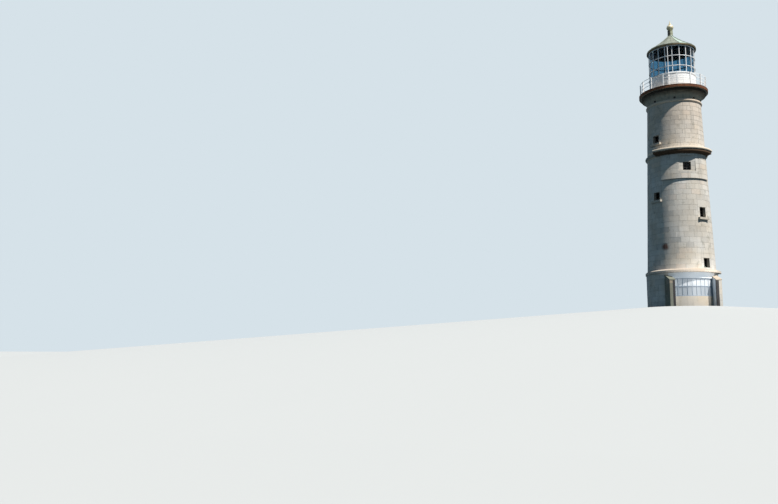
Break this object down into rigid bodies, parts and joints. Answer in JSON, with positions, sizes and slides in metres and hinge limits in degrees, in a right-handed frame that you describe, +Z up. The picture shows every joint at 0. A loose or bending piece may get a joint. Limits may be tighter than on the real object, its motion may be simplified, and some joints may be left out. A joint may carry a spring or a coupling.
{
  "type": "stone lighthouse tower",
  "caption": "Tapered granite lighthouse tower with a glazed lantern and gallery, a hooded middle light room and a low light room at its foot.",
  "frame": {"origin": "on the ground at the tower's axis, under the middle of the round walls", "axes": "+Z up the tower, -Y out of the low light room at the front, +X to the right seen from the front"},
  "size_m": [6.7658, 7.407, 29.29],
  "materials": {
    "granite": "coursed granite ashlar, weathered",
    "dressed_granite": "dressed granite",
    "floor_stone": "worn stone flags",
    "painted_lintel": "whitewashed granite",
    "white_timber": "white gloss paint on timber",
    "dark_timber": "dark paint on timber",
    "window_glass": "clear glass",
    "rusted_iron": "rusted iron",
    "white_iron": "white gloss paint on iron",
    "lantern_glass": "clear curved glass",
    "copper_gutter": "brown weathered copper",
    "green_copper": "pale green weathered copper",
    "dark_iron": "weathered grey iron",
    "gilt_metal": "dull gilt copper"
  },
  "bodies": {
    "root": {"base_wall_left": "granite", "base_wall_right": "granite", "door_lintel": "granite", "cheek_wall_left": "granite", "cheek_wall_right": "granite", "screen_apron": "granite", "lower_shaft_front": "granite", "lower_shaft_left": "granite", "lower_shaft_back": "granite", "lower_shaft_right": "granite", "room_wall_front": "granite", "room_wall_back": "granite", "upper_shaft_left": "granite", "upper_shaft_right": "granite", "neck_torus": "granite", "cornice": "granite", "base_ledge": "dressed_granite", "room_hood": "dressed_granite", "room_string": "dressed_granite", "window_sills": "dressed_granite", "cheek_copings": "dressed_granite", "door_step": "dressed_granite", "gallery_deck": "dressed_granite", "ground_floor": "floor_stone", "room_floor": "floor_stone", "light_lintel": "painted_lintel", "screen_frame": "white_timber", "screen_boards": "white_timber", "jamb_posts": "dark_timber", "entrance_door": "dark_timber", "door_frame": "dark_timber", "window_frames": "dark_timber", "window_glass": "window_glass", "screen_glass": "window_glass", "gallery_rim": "rusted_iron", "railing_stanchions": "white_iron", "railing_rails": "white_iron", "murette": "white_iron", "lantern_curb": "white_iron", "lantern_bars": "white_iron", "lantern_glass": "lantern_glass", "eaves_gutter": "copper_gutter", "roof": "green_copper", "vent_pipe": "dark_iron", "finial_ball": "gilt_metal", "finial_spike": "gilt_metal"}
  },
  "joints": []
}
